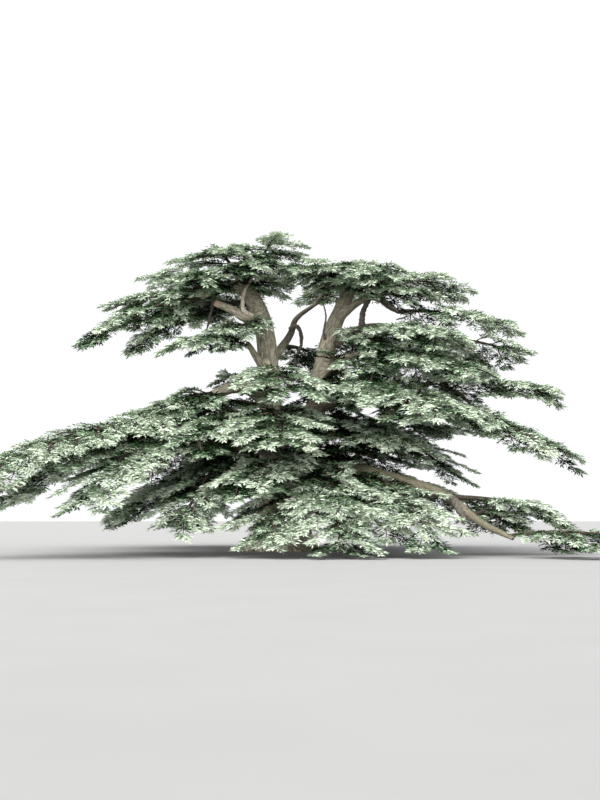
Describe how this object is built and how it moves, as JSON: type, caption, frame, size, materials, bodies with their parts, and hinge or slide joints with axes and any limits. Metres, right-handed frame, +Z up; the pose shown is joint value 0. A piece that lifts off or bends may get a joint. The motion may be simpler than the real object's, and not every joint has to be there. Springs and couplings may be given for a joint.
{
  "type": "cedar tree",
  "caption": "Old spreading cedar with a low forked trunk, long sweeping boughs and flat drooping tiers of blue-green foliage down to the ground.",
  "frame": {"origin": "middle of the flat cut under the trunk, at ground level", "axes": "+Z up, -Y is the tree's front, which the picture shows, and +X is to the right seen from the front"},
  "size_m": [30.3307, 29.6691, 16.3],
  "materials": {
    "bark": "rough grey-brown bark in small plates and long cracks",
    "needles": "matt grey-green needle sprays"
  },
  "bodies": {
    "root": {"trunk": "bark", "stem_left": "bark", "stem_right": "bark", "bough_top_left": "bark", "bough_back_upright": "bark", "bough_right_third": "bark", "bough_right_fourth": "bark", "bough_right_inner": "bark", "bough_right_fifth": "bark", "bough_back_right": "bark", "bough_low_right": "bark", "bough_left_main": "bark", "bough_left_low": "bark", "bough_front_low": "bark", "bough_back_left": "bark", "bough_back": "bark", "foliage_top_left_end": "needles", "foliage_top_left_middle": "needles", "foliage_top_left_shoulder": "needles", "foliage_crown_left": "needles", "foliage_crown_top": "needles", "foliage_front_left_high": "needles", "foliage_back_left_high": "needles", "foliage_back_high": "needles", "foliage_crown_middle": "needles", "foliage_crown_right": "needles", "foliage_right_high": "needles", "foliage_right_third": "needles", "foliage_right_fourth": "needles", "foliage_back_right_high": "needles", "foliage_right_upper": "needles", "foliage_right_inner": "needles", "foliage_right_fifth": "needles", "foliage_right_front": "needles", "foliage_right_droop": "needles", "foliage_right_lower": "needles", "foliage_back_right": "needles", "foliage_low_right_middle": "needles", "foliage_low_right_end": "needles", "foliage_left_inner": "needles", "foliage_left_shoulder": "needles", "foliage_left_end": "needles", "foliage_left_under": "needles", "foliage_left_middle": "needles", "foliage_left_low": "needles", "foliage_left_droop": "needles", "foliage_front_left": "needles", "foliage_front_left_low": "needles", "foliage_front_plate": "needles", "foliage_front_high": "needles", "foliage_centre_right": "needles", "foliage_low_front_left": "needles", "foliage_low_front": "needles", "foliage_low_front_right": "needles", "foliage_back_left": "needles", "foliage_back_left_low": "needles", "foliage_back": "needles", "foliage_back_low": "needles", "foliage_left_rear": "needles", "foliage_right_rear": "needles"}
  },
  "joints": []
}
